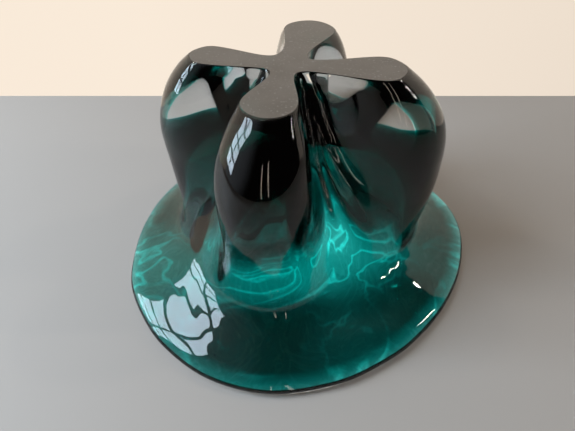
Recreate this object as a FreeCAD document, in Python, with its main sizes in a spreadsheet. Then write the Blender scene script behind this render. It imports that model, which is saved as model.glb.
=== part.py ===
import FreeCAD, Part
import math
import os

# A heavy four-lobed art-glass bowl, standing mouth down: the ground foot is on top, the mouth
# is on the table. Millimetres, +Z up, z = 0 on the table, x = y = 0 at the middle of the mouth.

LOBES = ("right", "back", "left", "front")      # in turn, counter-clockwise seen from above

SIZES = {
    # overall
    "height": 92.0,                 # table to the ground foot
    "rim_radius": 80.0,             # the circle that the hand-worked rim wanders about
    "grinding": 3.0,                # glass ground off the blown lobes to make the foot
    "column_x": -6.3,               # axis of the four-lobed column, from the middle of the mouth
    "column_y": 3.2,
    # lobe by lobe, from the column's axis
    "right_angle": -4.0, "back_angle": 74.0, "left_angle": 164.0, "front_angle": 257.0,
    "right_reach": 64.0, "back_reach": 58.0, "left_reach": 56.0, "front_reach": 55.0,
    "right_half_width": 18.0, "back_half_width": 18.0,
    "left_half_width": 16.5, "front_half_width": 17.0,
    # the same lobes where the foot is ground flat
    "right_foot_reach": 43.5, "back_foot_reach": 43.0,
    "left_foot_reach": 38.5, "front_foot_reach": 36.0,
    "right_foot_half_width": 9.3, "back_foot_half_width": 10.5,
    "left_foot_half_width": 7.6, "front_foot_half_width": 9.4,
    # the crease that follows each lobe, measured at the foot
    "right_crease": 10.0, "back_crease": 10.0, "left_crease": 8.0, "front_crease": 7.0,
    # how far the rim stands out from its circle at each lobe and at the crease that follows it
    "right_rim": 7.5, "back_rim": -2.0, "left_rim": -7.0, "front_rim": 3.0,
    "right_crease_rim": 5.0, "back_crease_rim": -6.0,
    "left_crease_rim": -1.0, "front_crease_rim": 0.5,
    # how the lobes change with height
    "shoulder_depth": 34.0,         # the lobes begin to close in this far below the foot
    "crown_rise": 11.0,             # the blown lobes would have closed this far above the foot
    "crease_slope": 0.33,           # how much each crease opens out per millimetre down
    "neck_half_width": 6.0,         # half width between a lobe and the middle, at the foot
    "neck_slope": 0.24,             # how much that neck widens per millimetre down
    # how the column turns into the round brim
    "skirt_height": 33.0,           # height over which the lobes melt into the brim
    "flare_height": 8.5,            # height over which the brim spreads
    "flare_power": 2.4,             # how sharply it turns up into the column
    "flare_root": 0.68,             # radius of the brim's root, as a share of the rim
    "lip_height": 3.0,              # the rim is widest at this height
    "lip_tuck": 0.03,               # how much the rim turns in below that, as a share
    # the two gathers of glass
    "casing_wall": 3.5,             # clear casing on the sides of the lobes
    "casing_crease": 3.0,           # clear casing in the creases
    "casing_brim": 3.0,             # clear casing over the brim, measured upright
    "casing_lip": 1.2,              # clear casing at the rim
    "lining_wall": 7.5,             # teal lining on the sides of the lobes
    "lining_crease": 3.0,           # teal lining in the creases
    "lining_brim": 3.8,             # teal lining under the brim, measured upright
    "lining_lip": 1.6,              # teal lining at the rim
    "foot_thickness": 22.0,         # clear glass between the foot and the teal lining
    "lining_roof": 10.0,            # teal glass between the casing and the top of the hollow
    "vault_height": 22.0,           # height of the rounded ceiling in each lobe
    "vault_flat": 0.25,             # width left at the top of that ceiling, as a share
    "vault_pull": 0.35,             # how far the ceiling draws back towards the axis, as a share
}

# Share of the way from a lobe's middle to the next crease, for each point of a section.
TEMPLATE = (0.0, 0.27, 0.50, 0.72)
DIAGONAL = math.sqrt(0.5)
CREASE_PULL = 0.7                   # where along the lobe its neck is set, against the crease
NECK_SHARE = 0.85                   # how much of the neck's width is neck, the rest is lobe

# Heights of the sections, as shares of the space they fill.
LIP_STATIONS = (0.0, 0.4, 1.0)
COLUMN_STATIONS = (
    0.02, 0.045, 0.075, 0.11, 0.15, 0.20, 0.26, 0.33, 0.41, 0.50, 0.60, 0.70, 0.79, 0.87, 0.94, 1.0)
HOLLOW_STATIONS = (0.0, 0.04, 0.08, 0.13, 0.19, 0.27, 0.37, 0.50, 0.65, 0.82, 1.0)
VAULT_STATIONS = (0.30, 0.55, 0.75, 0.90, 1.0)

doc = FreeCAD.newDocument("lobed_bowl")
sheet = doc.addObject("Spreadsheet::Sheet", "sizes")
for row, (name, value) in enumerate(SIZES.items(), start=1):
    sheet.set("A%d" % row, name)
    sheet.set("B%d" % row, str(value))
    sheet.setAlias("B%d" % row, name)
doc.recompute()


def size(name):
    return float(sheet.get(name))


class Skin:
    """One of the nested surfaces: how far it lies inside the blown outside of the bowl."""

    def __init__(self, wall, crease, brim, lip, top):
        self.wall = wall
        self.crease = crease
        self.brim = brim
        self.lip = lip
        self.top = top

    def vault(self, z):
        """Share of a lobe's width that is left at height z, under its rounded ceiling."""
        if self.top is None:
            return 1.0
        rise = z - (self.top - size("vault_height"))
        if rise <= 0.0:
            return 1.0
        flat = size("vault_flat")
        left = math.sqrt(max(0.0, 1.0 - (rise / size("vault_height")) ** 2))
        return flat + (1.0 - flat) * left


def lobe_closing(z):
    """1 up to the shoulder, then falling as the lobe's end rounds over, 0 at the ground foot."""
    shoulder = size("height") - size("shoulder_depth")
    span = size("shoulder_depth") + size("crown_rise")

    def rounding(height):
        return math.sqrt(1.0 - (max(0.0, height - shoulder) / span) ** 2)

    at_foot = rounding(size("height"))
    return (rounding(z) - at_foot) / (1.0 - at_foot)


def crease_at(lobe, z, skin):
    distance = size(lobe + "_crease") + (size("height") - z) * size("crease_slope")
    return (distance - skin.crease) * skin.vault(z)


def lobe_points(lobe, crease, z, skin):
    """Points from the tip of a lobe to its neck: along the lobe, and to one side of it."""
    closing = lobe_closing(z)
    foot_reach = size(lobe + "_foot_reach")
    foot_half_width = size(lobe + "_foot_half_width")
    reach = foot_reach + (size(lobe + "_reach") - foot_reach) * closing
    half_width = foot_half_width + (size(lobe + "_half_width") - foot_half_width) * closing
    neck = size("neck_half_width") + (size("height") - z) * size("neck_slope")
    neck = min(neck, half_width) * NECK_SHARE + half_width * (1.0 - NECK_SHARE)
    share = skin.vault(z)
    centre = (reach - half_width) * (1.0 - size("vault_pull") * (1.0 - share))
    tip_radius = (half_width - skin.wall) * share
    return (
        (centre + tip_radius, 0.0),
        (centre + tip_radius * DIAGONAL, tip_radius * DIAGONAL),
        (centre, tip_radius),
        ((centre + crease * CREASE_PULL) / 2.0, (neck - skin.wall) * share),
    )


def turned(point, angle):
    turn = math.radians(angle)
    return (point[0] * math.cos(turn) - point[1] * math.sin(turn),
            point[0] * math.sin(turn) + point[1] * math.cos(turn))


def angles(number):
    """Directions of a lobe and of the next one, counter-clockwise."""
    first = size(LOBES[number] + "_angle")
    second = size(LOBES[(number + 1) % len(LOBES)] + "_angle")
    if second < first:
        second += 360.0
    return first, second


def closed_curve(points):
    """Smooth closed curve through the points, with the same parameters at every height."""
    curve = Part.BSplineCurve()
    curve.interpolate(
        Points=[FreeCAD.Vector(*point) for point in points],
        PeriodicFlag=True,
        Parameters=[float(number) for number in range(len(points) + 1)],
    )
    return curve


def rim_curve():
    points = []
    for number, lobe in enumerate(LOBES):
        first, second = angles(number)
        at_lobe = size("rim_radius") + size(lobe + "_rim")
        at_crease = size("rim_radius") + size(lobe + "_crease_rim")
        points.append(turned((at_lobe, 0.0), first) + (0.0,))
        points.append(turned((at_crease, 0.0), (first + second) / 2.0) + (0.0,))
    return closed_curve(points)


RIM = rim_curve()


def melted(z):
    """How far the lobes have melted into the round brim: 1 on the table, near 0 at the foot."""
    return math.exp(-(z / size("skirt_height")) ** 2)


def brim_point(parameter, z, level, skin):
    """Point of the round brim at height z, where the skin follows the outside at this level."""
    lip = size("lip_height")
    rise = max(0.0, level - lip) / size("flare_height")
    spread = math.exp(-rise ** size("flare_power"))
    share = size("flare_root") + (1.0 - size("flare_root")) * spread
    share *= 1.0 - size("lip_tuck") * (max(0.0, lip - z) / lip) ** 2
    point = RIM.value(parameter)
    share -= skin.lip / point.Length
    return point.x * share, point.y * share


def section_points(z, skin):
    """Points round the skin's section at height z: the lobed column melted into the brim."""
    level = z + skin.brim * melted(z)
    melt = melted(level)
    points = []

    def add(lobed, parameter):
        brim = brim_point(parameter, z, level, skin)
        points.append((
            size("column_x") + (1.0 - melt) * lobed[0] + melt * brim[0],
            size("column_y") + (1.0 - melt) * lobed[1] + melt * brim[1],
            z,
        ))

    for number, lobe in enumerate(LOBES):
        first, second = angles(number)
        crease = crease_at(lobe, z, skin)
        ahead = lobe_points(lobe, crease, z, skin)
        behind = lobe_points(LOBES[(number + 1) % len(LOBES)], crease, z, skin)
        start = 2.0 * number
        for share, point in zip(TEMPLATE, ahead):
            add(turned(point, first), start + share)
        add(turned((crease, 0.0), (first + second) / 2.0), start + 1.0)
        for share, point in reversed(list(zip(TEMPLATE, behind))[1:]):
            add(turned((point[0], -point[1]), second), start + 2.0 - share)
    return points


def skin_form(name, heights, skin):
    """Solid filled out to a skin: a loft through its sections."""
    sections = []
    for number, z in enumerate(heights):
        section = doc.addObject("Part::Feature", "%s_section_%d" % (name, number))
        section.Shape = Part.Wire([closed_curve(section_points(z, skin)).toShape()])
        sections.append(section)
    form = doc.addObject("Part::Loft", name)
    form.Sections = sections
    form.Solid = True
    form.Ruled = False
    return form


def hollow_heights(top):
    straight = top - size("vault_height")
    return ([straight * share for share in HOLLOW_STATIONS]
            + [straight + size("vault_height") * share for share in VAULT_STATIONS])


lip = size("lip_height")
blank_top = size("height") + size("grinding")
outside = Skin(0.0, 0.0, 0.0, 0.0, None)
lining_top = size("height") - size("foot_thickness")
between = Skin(
    size("casing_wall"), size("casing_crease"), size("casing_brim"), size("casing_lip"), lining_top)
inside = Skin(
    size("casing_wall") + size("lining_wall"),
    size("casing_crease") + size("lining_crease"),
    size("casing_brim") + size("lining_brim"),
    size("casing_lip") + size("lining_lip"),
    lining_top - size("lining_roof"),
)
blank = skin_form(
    "blank",
    [lip * share for share in LIP_STATIONS]
    + [lip + (blank_top - lip) * share for share in COLUMN_STATIONS],
    outside,
)
gather = skin_form("gather", hollow_heights(between.top), between)
hollow = skin_form("hollow", hollow_heights(inside.top), inside)

# The foot is ground flat: a block takes off everything above it.
ground_off = doc.addObject("Part::Box", "ground_off")
ground_off.setExpression("Length", "2 * sizes.rim_radius")
ground_off.setExpression("Width", "2 * sizes.rim_radius")
ground_off.setExpression("Height", "2 * sizes.grinding")
ground_off.setExpression(".Placement.Base.x", "-sizes.rim_radius")
ground_off.setExpression(".Placement.Base.y", "-sizes.rim_radius")
ground_off.setExpression(".Placement.Base.z", "sizes.height")

ground = doc.addObject("Part::Cut", "ground")
ground.Base = blank
ground.Tool = ground_off

clear_casing = doc.addObject("Part::Cut", "clear_casing")
clear_casing.Base = ground
clear_casing.Tool = gather

teal_lining = doc.addObject("Part::Cut", "teal_lining")
teal_lining.Base = gather
teal_lining.Tool = hollow

PARTS = (clear_casing, teal_lining)
doc.recompute()
for item in doc.Objects:
    if "Invalid" in item.State or "Error" in item.State:
        raise SystemExit("%s did not recompute: %s" % (item.Name, item.State))

os.makedirs("parts", exist_ok=True)
for part in PARTS:
    part.Label = part.Name
    if part.Shape.isNull() or not part.Shape.isValid():
        raise SystemExit("%s has no valid shape" % part.Name)
    if len(part.Shape.Solids) != 1:
        raise SystemExit("%s is not one solid" % part.Name)
    part.Shape.exportStep("parts/%s.step" % part.Name)
    box = part.Shape.BoundBox
    print("%-14s %8.0f mm3  x %.2f %.2f  y %.2f %.2f  z %.2f %.2f" % (
        part.Name, part.Shape.Volume, box.XMin, box.XMax, box.YMin, box.YMax, box.ZMin, box.ZMax))
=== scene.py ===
import math
from collections import namedtuple

import bpy
import numpy as np
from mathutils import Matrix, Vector


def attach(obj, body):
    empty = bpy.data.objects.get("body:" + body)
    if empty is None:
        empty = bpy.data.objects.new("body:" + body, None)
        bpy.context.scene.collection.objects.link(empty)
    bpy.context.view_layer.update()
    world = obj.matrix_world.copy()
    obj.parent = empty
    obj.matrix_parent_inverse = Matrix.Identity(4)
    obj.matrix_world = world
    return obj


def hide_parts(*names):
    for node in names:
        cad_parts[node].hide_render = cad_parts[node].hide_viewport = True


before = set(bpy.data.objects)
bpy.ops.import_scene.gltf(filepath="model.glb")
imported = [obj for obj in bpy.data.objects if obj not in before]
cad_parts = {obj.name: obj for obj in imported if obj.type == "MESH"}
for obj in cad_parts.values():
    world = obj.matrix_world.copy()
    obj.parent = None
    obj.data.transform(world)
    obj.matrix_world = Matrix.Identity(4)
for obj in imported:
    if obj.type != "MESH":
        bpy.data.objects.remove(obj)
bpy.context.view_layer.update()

MM = 0.001

# ---------------------------------------------------------------- the bowl's sizes, millimetres

Lobe = namedtuple("Lobe", "direction reach half foot_reach foot_half crease rim rim_between")

HEIGHT = 92.0
COLUMN = np.array((-6.3, 3.2))          # axis of the four-lobed column
LOBES = (
    # direction, reach, half width, foot reach, foot half width, crease, rim, rim at the crease
    Lobe(-4.0, 64.0, 18.0, 43.5, 9.3, 10.0, 87.5, 85.0),
    Lobe(74.0, 58.0, 18.0, 43.0, 10.5, 10.0, 78.0, 74.0),
    Lobe(164.0, 56.0, 16.5, 38.5, 7.6, 8.0, 73.0, 79.0),
    Lobe(257.0, 55.0, 17.0, 36.0, 9.4, 7.0, 83.0, 80.5),
)
TEMPLATE = (0.0, 0.27, 0.50, 0.72)      # share of the way from a lobe to the next crease
DIAGONAL = 0.7071                       # the lobe's point halfway round from its tip to its side
SHOULDER, CROWN = 58.0, 103.0           # where the lobes begin to close in, and would have closed
CREASE_SLOPE = 0.33                     # how much further out a crease is, a millimetre down
NECK, NECK_SLOPE = 6.0, 0.24            # half width of a lobe's neck at the foot, and its widening
NECK_SHARE = 0.85                       # how far the neck keeps to that, and not to the lobe's width
NECK_ROOT = 0.7                         # the neck is halfway to the lobe from this share of the crease
SKIRT = 33.0                            # height over which the round brim melts into the lobes
FLARE, FLARE_POWER = 8.5, 2.4           # height over which the brim draws in, and how sharply
FLARE_ROOT = 0.68                       # share of the rim's reach that it draws in to
LIP, BEVEL = 3.0, 0.45                  # height of the rim's edge, and the bevel round the foot
VAULT_HEIGHT = 22.0                     # of the domed ceilings
VAULT_FLAT, VAULT_PULL = 0.12, 0.35     # share left at a ceiling's top, and its draw to the axis

SET_BACK, RAISED = 0.07, 0.30           # the teal inside the clear's inner face, and off the table
CLEAR_LOWS = (LIP, 1.2)                 # where the rounded rim begins, outside and inside
TEAL_LOWS = (0.8, 1.2)

AROUND = 480                            # points round a section
OUTSIDE_ROWS, OUTSIDE_EASE = 230, 1.35  # rows, and how much closer they lie towards the table
INSIDE_ROWS, INSIDE_EASE = 190, 1.25
RIM_STEPS = 22
RIM_OUTER, RIM_INNER = 0.7, 2.0         # how round the rim is outside and inside

WAVES = ((60.0, 0.45), (26.0, 0.22), (12.0, 0.025))      # length and height of the hand-worked waves
WAVE_COUNT, WAVE_SPREAD, WAVE_SEED = 5, 2.2, 3           # waves of each length share its height
FADE = 4.0                              # all marks die out this close to the foot and the table
PLEATS = (
    # direction, lean in degrees a millimetre, half width in degrees, height, lowest, highest
    (-52.0, 0.06, 4.5, 1.7, 30.0, 96.0),
    (-66.0, 0.10, 4.0, 1.2, 34.0, 94.0),
    (-39.0, -0.14, 4.5, 1.3, 26.0, 92.0),
    (31.0, 0.05, 4.0, 1.0, 34.0, 94.0),
    (206.0, -0.10, 5.0, 1.1, 34.0, 94.0),
)
PLEAT_LEVEL = 60.0                      # where a pleat crosses its own direction
PLEAT_START, PLEAT_END = 14.0, 10.0     # heights over which it comes and goes
RING_HEIGHT, RING_PITCH, RING_LEAN = 0.02, 4.6, 0.5
RING_AWAY, RING_SPREAD = 9.0, 11.0      # the rings' middle, out from the lobe's side
RING_LEVEL, RING_DEPTH = 12.0, 14.0
BUBBLES, BUBBLE_SEED = 34, 11
BUBBLE_ROWS, BUBBLE_DEPTH, BUBBLE_RADIUS = (25, 215), (1.3, 1.9), (0.14, 0.42)
VOID_RINGS, VOID_SIDES = 7, 12          # of a bubble's mesh


# ---------------------------------------------------------------- the shape law

def spline_matrix(knots, parameters):
    """Rows that turn the values at the knots into a smooth closed curve at the parameters."""
    solve = np.zeros((knots, knots))
    for number in range(knots):
        solve[number, number] = 4.0 / 6.0
        solve[number, (number + 1) % knots] = 1.0 / 6.0
        solve[number, (number - 1) % knots] = 1.0 / 6.0
    basis = np.zeros((len(parameters), knots))
    for row, parameter in enumerate(parameters):
        start = int(math.floor(parameter))
        t = parameter - start
        weights = ((1 - t) ** 3 / 6, (3 * t ** 3 - 6 * t ** 2 + 4) / 6,
                   (-3 * t ** 3 + 3 * t ** 2 + 3 * t + 1) / 6, t ** 3 / 6)
        for step, weight in enumerate(weights):
            basis[row, (start - 1 + step) % knots] += weight
    return basis @ np.linalg.inv(solve)


def turned(point, angle):
    turn = math.radians(angle)
    return (point[0] * math.cos(turn) - point[1] * math.sin(turn),
            point[0] * math.sin(turn) + point[1] * math.cos(turn))


def following(number):
    return LOBES[(number + 1) % len(LOBES)]


def sector(number):
    """Directions of a lobe and of the next one."""
    first, second = LOBES[number].direction, following(number).direction
    return first, second + (360.0 if second < first else 0.0)


def rim_at(parameters):
    points = []
    for number, lobe in enumerate(LOBES):
        first, second = sector(number)
        points.append(turned((lobe.rim, 0.0), first))
        points.append(turned((lobe.rim_between, 0.0), (first + second) / 2.0))
    return spline_matrix(len(points), parameters) @ np.array(points)


def template_parameters():
    """Where each template point lies round the rim: even at a lobe, odd at a crease."""
    parameters = []
    for number in range(len(LOBES)):
        parameters += [2 * number + share for share in TEMPLATE]
        parameters.append(2 * number + 1.0)
        parameters += [2 * number + 2.0 - share for share in reversed(TEMPLATE[1:])]
    return parameters


RIM = rim_at(template_parameters())
SMOOTH = spline_matrix(len(RIM), np.arange(AROUND) * len(RIM) / AROUND)


class Skin:
    """One nested surface of the glass, by its distance inside the outside."""

    def __init__(self, wall, crease, brim, lip, top=None):
        self.wall, self.crease, self.brim, self.lip, self.top = wall, crease, brim, lip, top

    def vault(self, z):
        """Share of the lobes' width that the domed ceiling leaves at height z."""
        if self.top is None:
            return 1.0
        rise = min(1.0, max(0.0, (z - self.top) / VAULT_HEIGHT + 1.0))
        return VAULT_FLAT + (1.0 - VAULT_FLAT) * math.sqrt(1.0 - rise ** 2)

    def grown(self, gap):
        """The same skin, nearer to the outside by the gap."""
        return Skin(self.wall - gap, self.crease - gap, self.brim - gap, self.lip - gap, self.top + gap)


OUTSIDE = Skin(0.0, 0.0, 0.0, 0.0)
BETWEEN = Skin(3.5, 3.0, 3.0, 1.2, 70.0)
INSIDE = Skin(11.0, 6.0, 6.8, 2.8, 60.0)


def fullness(z):
    """How full the lobes are at height z: 1 below the shoulder and 0 at the foot."""
    def rounding(height):
        return math.sqrt(1.0 - (max(0.0, height - SHOULDER) / (CROWN - SHOULDER)) ** 2)
    at_foot = rounding(HEIGHT)
    return (rounding(z) - at_foot) / (1.0 - at_foot)


def lobe_points(lobe, crease, z, skin):
    """Half of a lobe's outline, from its tip to its neck, along its own direction."""
    reach = lobe.foot_reach + (lobe.reach - lobe.foot_reach) * fullness(z)
    half = lobe.foot_half + (lobe.half - lobe.foot_half) * fullness(z)
    neck = min(NECK + (HEIGHT - z) * NECK_SLOPE, half)
    neck = neck * NECK_SHARE + half * (1.0 - NECK_SHARE)
    share = skin.vault(z)
    centre = (reach - half) * (1.0 - VAULT_PULL * (1.0 - share))
    tip = (half - skin.wall) * share
    return ((centre + tip, 0.0), (centre + tip * DIAGONAL, tip * DIAGONAL), (centre, tip),
            ((centre + crease * NECK_ROOT) / 2.0, (neck - skin.wall) * share))


def section(z, skin):
    """The skin's outline at height z, as AROUND points."""
    level = z + skin.brim * math.exp(-(z / SKIRT) ** 2)
    melt = math.exp(-(level / SKIRT) ** 2)
    spread = math.exp(-(max(0.0, level - LIP) / FLARE) ** FLARE_POWER)
    share = FLARE_ROOT + (1.0 - FLARE_ROOT) * spread
    lobed = []
    for number, lobe in enumerate(LOBES):
        first, second = sector(number)
        crease = (lobe.crease + (HEIGHT - z) * CREASE_SLOPE - skin.crease) * skin.vault(z)
        ahead = lobe_points(lobe, crease, z, skin)
        behind = lobe_points(following(number), crease, z, skin)
        lobed += [turned(point, first) for point in ahead]
        lobed.append(turned((crease, 0.0), (first + second) / 2.0))
        lobed += [turned((point[0], -point[1]), second) for point in reversed(behind[1:])]
    lengths = np.linalg.norm(RIM, axis=1, keepdims=True)
    brim = RIM * (share - skin.lip / lengths)
    points = SMOOTH @ ((1.0 - melt) * np.array(lobed) + melt * brim) + COLUMN
    return np.column_stack((points, np.full(AROUND, z)))


def eased(start, end, count, power):
    """Heights from start to end, closer together towards the start for a power above 1."""
    return [start + (end - start) * (step / (count - 1)) ** power for step in range(count)]


def rim_rows(outer, inner, floor):
    """The rounded rim: from the outer row down to the floor and up to the inner row."""
    rows = []
    for step in range(1, RIM_STEPS):
        turn = math.pi * step / RIM_STEPS
        across = (1.0 - math.cos(turn)) / 2.0
        row = outer * (1.0 - across) + inner * across
        roundness = RIM_OUTER if across < 0.5 else RIM_INNER
        row[:, 2] = floor + (row[:, 2] - floor) * (1.0 - math.sin(turn) ** roundness)
        rows.append(row)
    return rows


def bevelled(row, bevel):
    """The row drawn in towards the column's axis."""
    away = row[:, :2] - COLUMN
    drawn = row.copy()
    drawn[:, :2] -= away * bevel / np.linalg.norm(away, axis=1, keepdims=True)
    return drawn


def closed_rows(outer, inner, top, lows, floor):
    """Rows of a closed glass form, from the top of its outside round to its inner ceiling."""
    outside = [section(z, outer) for z in reversed(eased(lows[0], top, OUTSIDE_ROWS, OUTSIDE_EASE))]
    inside = [section(z, inner) for z in eased(lows[1], inner.top, INSIDE_ROWS, INSIDE_EASE)]
    return outside + rim_rows(outside[-1], inside[0], floor) + inside


# ---------------------------------------------------------------- the marks of the hand

def ripple(points):
    """Height of the gentle waves that hand-worked glass has."""
    random = np.random.default_rng(WAVE_SEED)
    total = np.zeros(len(points))
    for length, height in WAVES:
        for number in range(WAVE_COUNT):
            way = random.normal(size=3)
            way /= np.linalg.norm(way)
            phase = random.uniform(0.0, 2.0 * math.pi)
            total += height / WAVE_SPREAD * np.sin(points @ way * 2.0 * math.pi / length + phase)
    return total


def pleats(points):
    """Height of the narrow folds running down the creases."""
    away = points[:, :2] - COLUMN
    angle = np.degrees(np.arctan2(away[:, 1], away[:, 0]))
    z = points[:, 2]
    total = np.zeros(len(points))
    for middle, lean, half, height, low, high in PLEATS:
        offset = (angle - middle - lean * (z - PLEAT_LEVEL) + 180.0) % 360.0 - 180.0
        along = np.clip((z - low) / PLEAT_START, 0.0, 1.0) * np.clip((high - z) / PLEAT_END, 0.0, 1.0)
        total += height * np.exp(-(offset / half) ** 2) * along * along * (3.0 - 2.0 * along)
    return total


def rings(points):
    """Height of the faint rings the tools left where each lobe meets the brim."""
    away = points[:, :2] - COLUMN
    z = points[:, 2]
    total = np.zeros(len(points))
    for lobe in LOBES:
        centre = np.array(turned((lobe.reach - lobe.half, 0.0), lobe.direction))
        distance = np.linalg.norm(away - centre, axis=1)
        near = np.exp(-((distance - lobe.half - RING_AWAY) / RING_SPREAD) ** 2)
        near *= np.exp(-((z - RING_LEVEL) / RING_DEPTH) ** 2)
        total += RING_HEIGHT * near * np.sin(2.0 * math.pi * (distance + RING_LEAN * z) / RING_PITCH)
    return total


def outward_ways(grid):
    """Unit vectors out of the glass at every point of the grid."""
    along = np.gradient(grid, axis=0)
    around = np.roll(grid, -1, axis=1) - np.roll(grid, 1, axis=1)
    ways = np.cross(along, around)
    return ways / np.maximum(np.linalg.norm(ways, axis=2, keepdims=True), 1e-9)


def hand_worked(grid, marked_rows):
    """The grid's points moved by the waves, and on the marked rows by folds and rings too.

    The ways out of the glass come with them, shorter near the foot and the table.
    """
    points = grid.reshape(-1, 3)
    fade = np.clip(np.minimum(points[:, 2], HEIGHT - points[:, 2]) / FADE, 0.0, 1.0)
    outward = outward_ways(grid).reshape(-1, 3) * fade[:, None]
    moved = points + outward * ripple(points)[:, None]
    marked = points[:marked_rows * AROUND]
    folds = pleats(marked) + rings(marked)
    moved[:len(marked)] += outward[:len(marked)] * folds[:, None]
    return moved, outward


def small_void(middle, radius, start):
    """Points and faces of a small bubble, its faces turned into the bubble."""
    points = [(middle + np.array((0.0, 0.0, -radius))).tolist()]
    for ring in range(1, VOID_RINGS):
        rise = math.pi * ring / VOID_RINGS - math.pi / 2.0
        for step in range(VOID_SIDES):
            turn = 2.0 * math.pi * step / VOID_SIDES
            way = np.array((math.cos(rise) * math.cos(turn), math.cos(rise) * math.sin(turn),
                            math.sin(rise)))
            points.append((middle + radius * way).tolist())
    points.append((middle + np.array((0.0, 0.0, radius))).tolist())
    last = start + len(points) - 1
    top = last - VOID_SIDES
    faces = []
    for step in range(VOID_SIDES):
        after = (step + 1) % VOID_SIDES
        faces.append((start, start + 1 + step, start + 1 + after))
        for low in range(start + 1, top, VOID_SIDES):
            high = low + VOID_SIDES
            faces.append((low + step, high + step, high + after, low + after))
        faces.append((last, top + after, top + step))
    return points, faces


def closed_form(name, rows, marked_rows=0, top_slot=0, bubbles=()):
    """A piece from rows of points, with a face over each end and a round void at each bubble."""
    grid = np.stack(rows)
    moved, outward = hand_worked(grid, marked_rows)
    index = np.arange(len(moved)).reshape(grid.shape[:2])
    side = np.roll(index, -1, axis=1)
    quads = np.stack((index[:-1], side[:-1], side[1:], index[1:]), axis=-1).reshape(-1, 4)
    faces = quads[:, ::-1].tolist()
    ends = len(faces)
    faces += [index[0].tolist(), index[-1][::-1].tolist()]
    points = moved.tolist()
    for row, column, depth, radius in bubbles:
        place = index[row, column]
        void_points, void_faces = small_void(moved[place] - outward[place] * depth, radius, len(points))
        points += void_points
        faces += void_faces
    mesh = bpy.data.meshes.new(name)
    mesh.from_pydata((np.array(points) * MM).tolist(), [], faces)
    smooth = np.ones(len(mesh.polygons), dtype=bool)
    smooth[ends:ends + 2] = False
    mesh.polygons.foreach_set("use_smooth", smooth)
    mesh.polygons[ends].material_index = top_slot
    mesh.update()
    piece = bpy.data.objects.new(name, mesh)
    bpy.context.scene.collection.objects.link(piece)
    return piece


# ---------------------------------------------------------------- materials

GLASS_IOR = 1.5


class NodeTree:
    """Short ways to add the nodes that the materials and the room use."""

    def __init__(self, tree):
        self.nodes, self.links = tree.nodes, tree.links

    def source(self, kind, output):
        """An output of a new node that takes nothing in."""
        return self.nodes.new(kind).outputs[output]

    def noise(self, scale, detail, stretch=(1.0, 1.0, 1.0), distortion=0.0):
        """Noise fixed to the piece, its scale in features a metre."""
        mapping = self.nodes.new("ShaderNodeMapping")
        mapping.inputs["Scale"].default_value = stretch
        noise = self.nodes.new("ShaderNodeTexNoise")
        noise.inputs["Scale"].default_value = scale
        noise.inputs["Detail"].default_value = detail
        noise.inputs["Distortion"].default_value = distortion
        self.links.new(self.source("ShaderNodeTexCoord", "Object"), mapping.inputs["Vector"])
        self.links.new(mapping.outputs["Vector"], noise.inputs["Vector"])
        return noise.outputs["Fac"]

    def ramp(self, amount, span, ends, kind="LINEAR"):
        """A value running from one end to the other as the amount crosses the span."""
        ramp = self.nodes.new("ShaderNodeMapRange")
        ramp.interpolation_type = kind
        ramp.inputs["From Min"].default_value, ramp.inputs["From Max"].default_value = span
        ramp.inputs["To Min"].default_value, ramp.inputs["To Max"].default_value = ends
        self.links.new(amount, ramp.inputs["Value"])
        return ramp.outputs["Result"]

    def colours(self, amount, low, high):
        ramp = self.nodes.new("ShaderNodeValToRGB")
        ramp.color_ramp.elements[0].color = low + (1.0,)
        ramp.color_ramp.elements[1].color = high + (1.0,)
        self.links.new(amount, ramp.inputs["Fac"])
        return ramp.outputs["Color"]

    def mixed(self, amount, below, colour, kind="MIX"):
        """The colour below with another mixed in, or added, by the amount."""
        mix = self.nodes.new("ShaderNodeMix")
        mix.data_type = "RGBA"
        mix.blend_type = kind
        mix.inputs["B"].default_value = colour + (1.0,)
        self.links.new(amount, mix.inputs["Factor"])
        self.links.new(below, mix.inputs["A"])
        return mix.outputs["Result"]

    def maths(self, operation, first, second):
        """A Math node, with its second value a number or a socket."""
        node = self.nodes.new("ShaderNodeMath")
        node.operation = operation
        self.links.new(first, node.inputs[0])
        if isinstance(second, float):
            node.inputs[1].default_value = second
        else:
            self.links.new(second, node.inputs[1])
        return node.outputs[0]

    def measured(self, operation, vector, against):
        """A number from a vector and a fixed one: their distance or dot product."""
        node = self.nodes.new("ShaderNodeVectorMath")
        node.operation = operation
        node.inputs[1].default_value = against
        self.links.new(vector, node.inputs[0])
        return node.outputs["Value"]


class Shading(NodeTree):
    """A new node material and its principled shader."""

    def __init__(self, name):
        self.material = bpy.data.materials.new(name)
        self.material.use_nodes = True
        super().__init__(self.material.node_tree)
        self.shader = self.nodes["Principled BSDF"]
        self.output = self.nodes["Material Output"]

    def uniform(self, socket, value):
        self.shader.inputs[socket].default_value = value

    def varied(self, socket, value):
        self.links.new(value, self.shader.inputs[socket])

    def bumped(self, height, strength, distance, below=None):
        """The shader's normal bumped by the height, on top of the bump below where one is given."""
        bump = self.nodes.new("ShaderNodeBump")
        bump.inputs["Strength"].default_value = strength
        bump.inputs["Distance"].default_value = distance
        self.links.new(height, bump.inputs["Height"])
        if below is not None:
            self.links.new(below, bump.inputs["Normal"])
        self.varied("Normal", bump.outputs["Normal"])
        return bump.outputs["Normal"]


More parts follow.
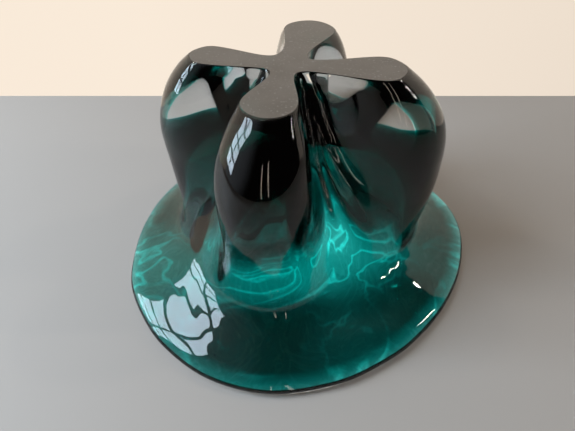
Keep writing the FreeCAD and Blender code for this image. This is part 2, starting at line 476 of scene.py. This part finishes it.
def clear_glass():
    """Clear glass with a faint cast, and the low unevenness of a surface cooled in the air."""
    glass = Shading("clear_glass")
    glass.uniform("Transmission Weight", 1.0)
    glass.uniform("IOR", GLASS_IOR)
    glass.uniform("Roughness", 0.0)
    cast = glass.ramp(glass.noise(45.0, 3.0), (0.3, 0.7), (0.0, 1.0))
    glass.varied("Base Color", glass.colours(cast, (0.960, 0.985, 0.975), (0.99, 0.998, 0.995)))
    waves = glass.bumped(glass.noise(150.0, 1.0, stretch=(1.0, 1.0, 0.22)), 0.03, 0.0006)
    glass.bumped(glass.noise(620.0, 2.0), 0.04, 0.00010, below=waves)
    return glass.material


def teal_glass():
    """Deep teal glass, a little denser along the streaks drawn out of the gather.

    It lies inside the clear piece, which does all the bending, so its own index is 1.
    """
    glass = Shading("teal_glass")
    glass.uniform("Transmission Weight", 1.0)
    glass.uniform("IOR", 1.0)
    glass.uniform("Roughness", 0.0)
    streaks = glass.noise(42.0, 2.0, stretch=(1.0, 1.0, 0.40), distortion=2.2)
    ridges = glass.maths("PINGPONG", streaks, 0.085)
    thin = glass.ramp(ridges, (0.0, 0.030), (0.0, 1.0))
    glass.varied("Base Color", glass.colours(thin, (1.0, 1.0, 1.0), (0.66, 0.84, 0.83)))
    volume = glass.nodes.new("ShaderNodeVolumeAbsorption")
    volume.inputs["Color"].default_value = (0.0, 0.86, 0.855, 1.0)
    volume.inputs["Density"].default_value = 1400.0
    glass.links.new(volume.outputs["Volume"], glass.output.inputs["Volume"])
    return glass.material


def ground_glass():
    """The foot's flat, ground and half polished: warm grey, finely scratched and flecked."""
    foot = Shading("ground_foot")
    foot.uniform("Transmission Weight", 0.55)
    foot.uniform("IOR", GLASS_IOR)
    cloud = foot.noise(75.0, 5.0)
    flecks = foot.ramp(foot.noise(1100.0, 2.0), (0.63, 0.70), (0.0, 1.0))
    tone = foot.colours(foot.ramp(cloud, (0.3, 0.7), (0.0, 1.0)),
                        (0.255, 0.213, 0.178), (0.375, 0.318, 0.268))
    foot.varied("Base Color", foot.mixed(flecks, tone, (0.55, 0.52, 0.48)))
    foot.varied("Roughness", foot.ramp(cloud, (0.3, 0.7), (0.34, 0.46)))
    sanded = foot.bumped(foot.noise(260.0, 2.0, stretch=(9.0, 1.0, 1.0)), 0.20, 0.00005)
    foot.bumped(foot.noise(2600.0, 1.0), 0.25, 0.00003, below=sanded)
    return foot.material


# ---------------------------------------------------------------- the two gathers of glass

def bubble_places():
    """Row, column, depth and radius of the seed bubbles, between the outside and the teal."""
    random = np.random.default_rng(BUBBLE_SEED)
    return [(int(random.integers(*BUBBLE_ROWS)), int(random.integers(0, AROUND)),
             float(random.uniform(*BUBBLE_DEPTH)), float(random.uniform(*BUBBLE_RADIUS)))
            for number in range(BUBBLES)]


def clear_casing_glass():
    """The whole wall, with the ground foot's edge bevelled."""
    top_edge = bevelled(section(HEIGHT, OUTSIDE), BEVEL)
    rows = [top_edge] + closed_rows(OUTSIDE, INSIDE, HEIGHT - BEVEL, CLEAR_LOWS, 0.0)
    body = closed_form("clear_casing_glass", rows, marked_rows=OUTSIDE_ROWS + 1, top_slot=1,
                       bubbles=bubble_places())
    body.data.materials.append(clear_glass())
    body.data.materials.append(ground_glass())
    return body


def teal_lining_glass():
    """The coloured core, set a hair inside the wall that holds it."""
    rows = closed_rows(BETWEEN, INSIDE.grown(SET_BACK), BETWEEN.top, TEAL_LOWS, RAISED)
    lining = closed_form("teal_lining_glass", rows)
    lining.data.materials.append(teal_glass())
    return lining


for piece, node, slot in ((clear_casing_glass(), "clear_casing", "clear_glass"),
                          (teal_lining_glass(), "teal_lining", "teal_glass")):
    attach(piece, "root")
    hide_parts(node)


# ---------------------------------------------------------------- stage

def staged_plane(name, size, place, turn, material):
    mesh = bpy.data.meshes.new(name)
    half_x, half_y = size[0] / 2.0, size[1] / 2.0
    corners = [(-half_x, -half_y, 0.0), (half_x, -half_y, 0.0),
               (half_x, half_y, 0.0), (-half_x, half_y, 0.0)]
    mesh.from_pydata(corners, [], [(0, 1, 2, 3)])
    mesh.materials.append(material)
    plane = bpy.data.objects.new(name, mesh)
    plane.location = place
    plane.rotation_euler = turn
    bpy.context.scene.collection.objects.link(plane)


def floor_material():
    floor = Shading("pale_floor")
    floor.uniform("Base Color", (0.56, 0.515, 0.475, 1.0))
    floor.uniform("Roughness", 0.62)
    return floor.material


def wall_material():
    """A pale glow in front, darker towards the right with painted shade as if lit from the left, dimmer
    for the light it throws on the table, and clear from behind.
    """
    wall = Shading("pale_wall")
    nodes, links = wall.nodes, wall.links
    nodes.remove(wall.shader)
    glow = nodes.new("ShaderNodeEmission")
    split = nodes.new("ShaderNodeSeparateXYZ")
    links.new(wall.source("ShaderNodeTexCoord", "Object"), split.inputs[0])
    # painted shade: the glow darkens towards the right, as if lit from the window on the left, and so
    # throws less light on the table's right
    across = wall.ramp(split.outputs["X"], (-0.10, 0.45), (0.0, 1.0))
    links.new(wall.colours(across, (1.0, 0.87, 0.73), (0.80, 0.69, 0.58)), glow.inputs["Color"])
    thrown = wall.source("ShaderNodeLightPath", "Is Diffuse Ray")
    links.new(wall.ramp(thrown, (0.0, 1.0), (0.95, 0.30)), glow.inputs["Strength"])
    mix = nodes.new("ShaderNodeMixShader")
    links.new(wall.source("ShaderNodeNewGeometry", "Backfacing"), mix.inputs[0])
    links.new(glow.outputs[0], mix.inputs[1])
    links.new(wall.source("ShaderNodeBsdfTransparent", "BSDF"), mix.inputs[2])
    links.new(mix.outputs[0], wall.output.inputs["Surface"])
    return wall.material


FLOOR_SIZE, FLOOR_DROP = (6.0, 6.0), 0.00005
WALL_SIZE, WALL_BEHIND = (6.0, 0.60), 0.142
staged_plane("floor", FLOOR_SIZE, (0.0, 0.0, -FLOOR_DROP), (0.0, 0.0, 0.0), floor_material())
staged_plane("wall", WALL_SIZE, (0.0, WALL_BEHIND, WALL_SIZE[1] / 2.0), (math.radians(90.0), 0.0, 0.0),
             wall_material())


# ---------------------------------------------------------------- lights

WINDOW, WINDOW_AIM = Vector((-0.56, -0.055, 0.40)), Vector((0.0, 0.0, 0.05))
PANE, PANE_STEP, PANE_POWER, DAYLIGHT = (0.117, 0.127), (0.14, 0.155), 0.56, (0.70, 0.85, 1.0)
BOWL = (0.0, 0.0, 0.06)
WARM, WARMER, WARMEST, COOL = (1.0, 0.92, 0.82), (1.0, 0.90, 0.78), (1.0, 0.86, 0.74), (0.86, 1.0, 0.96)
FRONT_SLITS = ((0.22, -1.10, 0.52), (-0.06, -1.15, 0.50))
FRONT_SIZE, FRONT_POWER = (0.04, 0.80), 0.40
# the roof's slits stand in a slanting row, each a third as far back as it is across
ROOF_MIDDLE, ROOF_OFFSETS, ROOF_SLANT = (-0.17, 0.06, 1.0), (-0.10, -0.03, 0.06, 0.11), 3.0
ROOF_SIZE, ROOF_POWER = (0.025, 0.12), 0.03
LAMPS = (
    # name, place, size, power, colour
    ("left_lamp", (-0.52, 0.11, 0.60), (0.02, 0.03), 0.25, WARM),
    ("lamp", (0.45, 0.12, 0.52), (0.030, 0.018), 0.20, WARMER),
    ("side_slit", (0.52, -0.04, 0.36), (0.010, 0.12), 0.25, WARM),
)


def area_light(name, place, target, size, power, colour):
    light = bpy.data.lights.new(name, "AREA")
    light.shape = "RECTANGLE"
    light.size, light.size_y = size
    light.energy = power
    light.color = colour
    lamp = bpy.data.objects.new(name, light)
    lamp.location = place
    aim = Vector(target) - Vector(place)
    lamp.rotation_euler = aim.to_track_quat("-Z", "Y").to_euler()
    bpy.context.scene.collection.objects.link(lamp)


def window_panes():
    """A tall window on the left, four panes high and two wide, with dark bars between them."""
    inward = (WINDOW_AIM - WINDOW).normalized()
    across = inward.cross(Vector((0.0, 0.0, 1.0))).normalized()
    upward = across.cross(inward)
    for column in (-0.5, 0.5):
        for row in (-1.5, -0.5, 0.5, 1.5):
            place = WINDOW + across * column * PANE_STEP[0] + upward * row * PANE_STEP[1]
            area_light("pane", place, place + inward, PANE, PANE_POWER, DAYLIGHT)


window_panes()
for place in FRONT_SLITS:
    area_light("front_slit", place, BOWL, FRONT_SIZE, FRONT_POWER, WARMEST)
for offset in ROOF_OFFSETS:
    place = (ROOF_MIDDLE[0] + offset, ROOF_MIDDLE[1] + offset / ROOF_SLANT, ROOF_MIDDLE[2])
    area_light("roof_slit", place, (0.0, 0.0, 0.0), ROOF_SIZE, ROOF_POWER, COOL)
for name, place, size, power, colour in LAMPS:
    area_light(name, place, BOWL, size, power, colour)


# ---------------------------------------------------------------- painted light under the bowl: a glowing patch standing in for caustics

# painted pools of light on the table under the bowl, standing in for the glass's caustics
PAINTED_LIGHT_POOLS = (
    # middle on the table, bright out to, dark from, strength
    ((0.014, 0.002), 0.010, 0.046, 0.85),
    ((-0.014, -0.014), 0.004, 0.032, 0.35),
    ((-0.036, -0.020), 0.004, 0.028, 0.35),
    ((-0.060, -0.018), 0.004, 0.034, 0.55),
    ((0.058, -0.008), 0.004, 0.028, 0.06),
    ((0.022, -0.055), 0.004, 0.030, 0.08),
    ((-0.020, 0.060), 0.004, 0.034, 0.30),
)
GLOW_OUTER, GLOW_INNER, GLOW_DROP = 0.8, 9.0, 0.02       # in from the rim and below it, millimetres
# painted light: the patch glows brightest just inside the rim, and faintly everywhere
RIM_GLOW, LEAST_GLOW = 0.36, 0.02


def painted_caustic_material():
    """A painted soft glow, brighter at the rim and in painted pools of light, crossed by bright painted
    caustic lines.
    """
    glow = Shading("painted_caustic_light")
    # painted shade: the patch's own colour is darker than the floor round it, as if the table lay in
    # the bowl's shadow
    glow.uniform("Base Color", (0.40, 0.38, 0.36, 1.0))
    glow.uniform("Roughness", 0.7)
    glow.uniform("Emission Color", (1.0, 0.96, 0.90, 1.0))
    place = glow.source("ShaderNodeTexCoord", "Object")
    rim = glow.nodes.new("ShaderNodeAttribute")
    rim.attribute_name = "edge"
    total = glow.maths("ADD", glow.maths("MULTIPLY", rim.outputs["Fac"], RIM_GLOW), LEAST_GLOW)
    for middle, bright, dark, strength in PAINTED_LIGHT_POOLS:
        away = glow.measured("DISTANCE", place, middle + (0.0,))
        painted_pool = glow.ramp(away, (bright, dark), (strength, 0.0), "SMOOTHSTEP")
        total = glow.maths("ADD", painted_pool, total)
    noise = glow.noise(26.0, 2.0, distortion=1.8)
    ridge = glow.maths("ABSOLUTE", glow.maths("SUBTRACT", noise, 0.5), 0.0)
    # painted caustic lines: the glow is brighter along the noise's ridges
    painted_caustic_threads = glow.ramp(ridge, (0.0, 0.035), (1.9, 0.75))
    glow.varied("Emission Strength", glow.maths("MULTIPLY", total, painted_caustic_threads))
    return glow.material


def painted_caustic_light():
    """A glowing patch on the table beneath the bowl: painted light standing in for what the thick glass
    gathers there.
    """
    outer = section(LIP, Skin(0.0, 0.0, 0.0, GLOW_OUTER))
    inner = section(LIP, Skin(0.0, 0.0, 0.0, GLOW_INNER))
    points = np.vstack((outer, inner))
    points[:, 2] = -GLOW_DROP
    faces = [(step, (step + 1) % AROUND, AROUND + (step + 1) % AROUND, AROUND + step)
             for step in range(AROUND)]
    faces.append([AROUND + step for step in range(AROUND)])
    mesh = bpy.data.meshes.new("painted_caustic_light")
    mesh.from_pydata((points * MM).tolist(), [], faces)
    edge = mesh.attributes.new("edge", "FLOAT", "POINT")
    edge.data.foreach_set("value", [1.0] * AROUND + [0.0] * AROUND)
    mesh.materials.append(painted_caustic_material())
    patch = bpy.data.objects.new("painted_caustic_light", mesh)
    bpy.context.scene.collection.objects.link(patch)


painted_caustic_light()


# ---------------------------------------------------------------- the room round the stage

ROOM_BASE, ROOM_SEEN = (0.018, 0.015, 0.014), (0.93, 0.81, 0.68)
ROOM_LIGHTS = (
    # towards, where it starts and is full, colour
    ((-0.25, 0.93, 0.27), (0.15, 0.75), (0.62, 0.56, 0.48)),
    ((-0.90, 0.10, 0.42), (0.45, 0.95), (0.42, 0.46, 0.50)),
    ((0.0, 0.25, 0.97), (0.80, 1.0), (0.03, 0.03, 0.03)),
)


def soft_room():
    """The light round the stage: pale behind and to the left, dark in front and to the right."""
    world = bpy.data.worlds.new("soft_room")
    bpy.context.scene.world = world
    world.use_nodes = True
    room = NodeTree(world.node_tree)
    way = room.source("ShaderNodeTexCoord", "Generated")
    base = room.nodes.new("ShaderNodeRGB")
    base.outputs[0].default_value = ROOM_BASE + (1.0,)
    light = base.outputs[0]
    for direction, span, colour in ROOM_LIGHTS:
        facing = room.measured("DOT_PRODUCT", way, direction)
        light = room.mixed(room.ramp(facing, span, (0.0, 1.0), "SMOOTHSTEP"), light, colour, "ADD")
    seen = room.mixed(room.source("ShaderNodeLightPath", "Is Camera Ray"), light, ROOM_SEEN)
    background = room.nodes["Background"]
    room.links.new(seen, background.inputs["Color"])
    background.inputs["Strength"].default_value = 1.0


soft_room()


# ---------------------------------------------------------------- camera and light paths

CAMERA_PLACE, CAMERA_DOWN = (-0.0063, -0.1458, 0.165), 45.3
SENSOR, LENS, NEAREST, FURTHEST = 36.0, 27.05, 0.005, 20.0

camera_data = bpy.data.cameras.new("camera")
camera_data.sensor_width = SENSOR
camera_data.lens = LENS
camera_data.clip_start = NEAREST
camera_data.clip_end = FURTHEST
camera = bpy.data.objects.new("camera", camera_data)
camera.location = CAMERA_PLACE
camera.rotation_euler = (math.radians(90.0 - CAMERA_DOWN), 0.0, 0.0)
bpy.context.scene.collection.objects.link(camera)
bpy.context.scene.camera = camera

cycles = bpy.context.scene.cycles
cycles.max_bounces = 32
cycles.transmission_bounces = 28
cycles.glossy_bounces = 12
cycles.transparent_max_bounces = 16
cycles.caustics_refractive = True
cycles.caustics_reflective = True
bpy.context.scene.view_settings.view_transform = "Standard"
